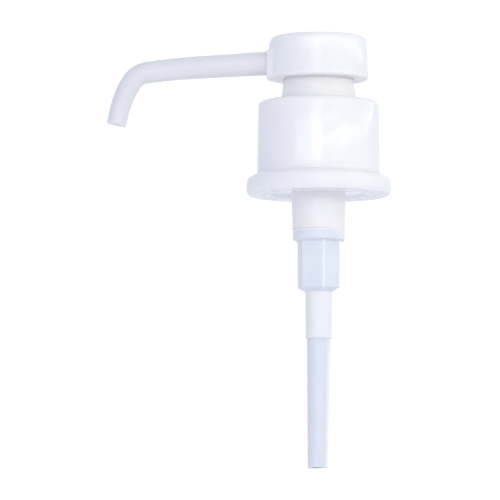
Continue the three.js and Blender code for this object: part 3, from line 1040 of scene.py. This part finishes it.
spring = swept("return_spring_visual", spring_rings, closed=False)
finish_piece(spring, "housing", steel, ["return_spring"])
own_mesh(spring)

# ------------------------------------------------------------------ floor
FLOOR_Z, FLOOR_REACH = -330, 9e4

square = [(x * FLOOR_REACH, y * FLOOR_REACH) for x, y in ((-1, -1), (1, -1), (1, 1), (-1, 1))]
floor = new_object("floor", [(x, y, FLOOR_Z) for x, y in square], [(0, 1, 2, 3)])
floor_paint, _, paint = new_material("pale_floor")
paint.inputs["Base Color"].default_value = (0.84, 0.845, 0.86, 1)
paint.inputs["Roughness"].default_value = 0.8
paint.inputs["Emission Color"].default_value = WHITE
paint.inputs["Emission Strength"].default_value = 0.165
floor.data.materials.append(floor_paint)

# ------------------------------------------------------------------ light
# The tent's colour at each place across it, from 0 on the left to 1 on the right.
TENT = (
    (0.0, (0.49, 0.52, 0.64)),
    (0.5, (0.91, 0.935, 0.985)),
    (0.8, (0.835, 0.87, 0.935)),
    (1.0, (0.72, 0.78, 0.9)),
)
STRIP_STRENGTH, PANEL_STRENGTH, SURROUND_STRENGTH = 1.25, 1.7, 1.05


def background(tree, color, strength):
    made = node(tree, "ShaderNodeBackground")
    feed(tree, color, made.inputs["Color"])
    feed(tree, strength, made.inputs["Strength"])
    return made.outputs[0]


def studio_world():
    """White surround. What lights the object is a soft tent, dimmer and bluer to the sides,
    with a tall strip and a broad panel in front. x, y and z are a direction of length 1."""
    world = bpy.data.worlds.new("studio")
    bpy.context.scene.world = world
    world.use_nodes = True
    tree = world.node_tree
    tree.nodes.clear()
    x, y, z = axes(tree, node(tree, "ShaderNodeTexCoord").outputs["Generated"])

    tent = node(tree, "ShaderNodeValToRGB")
    stops = tent.color_ramp.elements
    for place, color in TENT[1:-1]:
        stops.new(place)
    for stop, (place, color) in zip(stops, TENT):
        stop.color = (*color, 1)
    tree.links.new(remap(tree, x, -1, 1, 0, 1), tent.inputs["Fac"])
    dimmer_above = remap(tree, z, 0.35, 0.95, 1.07, 0.75)
    tent_light = background(tree, tent.outputs["Color"], dimmer_above)

    in_front = window(tree, y, low=-2.0, high=-0.25, soft=0.2)
    strip_across = window(tree, x, low=-0.26, high=0.06, soft=0.02)
    strip_up = window(tree, z, low=-0.1, high=0.32, soft=0.03)
    strip = product(tree, strip_across, strip_up, in_front)

    # The panel wraps round to the right, its lower edge rising as it goes.
    angle = maths(tree, "ARCTAN2", x, product(tree, y, -1.0))
    rising = maths(tree, "ADD", z, product(tree, angle, -0.034))
    panel_round = window(tree, angle, low=-0.77, high=2.2, soft=0.05)
    above_edge = window(tree, rising, low=0.085, high=2.0, soft=0.006)
    below_top = window(tree, z, low=-1.0, high=0.175, soft=0.012)
    panel = product(tree, panel_round, above_edge, below_top)

    strip_light = product(tree, strip, STRIP_STRENGTH)
    panel_light = product(tree, panel, PANEL_STRENGTH)
    box_light = background(tree, WHITE, maths(tree, "ADD", strip_light, panel_light))
    lit = node(tree, "ShaderNodeAddShader")
    tree.links.new(tent_light, lit.inputs[0])
    tree.links.new(box_light, lit.inputs[1])

    seen = node(tree, "ShaderNodeMixShader")
    tree.links.new(node(tree, "ShaderNodeLightPath").outputs["Is Camera Ray"], seen.inputs[0])
    tree.links.new(lit.outputs[0], seen.inputs[1])
    tree.links.new(background(tree, WHITE, SURROUND_STRENGTH), seen.inputs[2])
    output = node(tree, "ShaderNodeOutputWorld")
    tree.links.new(seen.outputs[0], output.inputs["Surface"])


studio_world()

KEY_PLACE, KEY_AIM = Vector((0.13, -0.17, 0.05)), Vector((0, 0, 0.02))
key_data = bpy.data.lights.new("key", "AREA")
key_data.size = 0.12
key_data.energy = 0.045
key_data.color = (1, 0.75, 0.4)
key = bpy.data.objects.new("key", key_data)
bpy.context.scene.collection.objects.link(key)
key.location = KEY_PLACE
key.rotation_mode = "QUATERNION"
key.rotation_quaternion = (KEY_AIM - KEY_PLACE).to_track_quat("-Z", "Y")
key.visible_camera = False
key.visible_glossy = False

# ------------------------------------------------------------------ camera
ELEVATION, DISTANCE = math.radians(-5.6), 2.5
TARGET = Vector((-27.46 * MM, 0, -22.0 * MM))

camera_data = bpy.data.cameras.new("camera")
camera_data.lens = 450
camera_data.sensor_width = 36
camera_data.clip_end = 200
camera = bpy.data.objects.new("camera", camera_data)
bpy.context.scene.collection.objects.link(camera)
bpy.context.scene.camera = camera
back = Vector((0, -math.cos(ELEVATION), math.sin(ELEVATION)))
camera.location = TARGET + back * DISTANCE
camera.rotation_mode = "QUATERNION"
camera.rotation_quaternion = (-back).to_track_quat("-Z", "Y")

bpy.context.scene.view_settings.view_transform = "Standard"
bpy.context.scene.view_settings.look = "None"
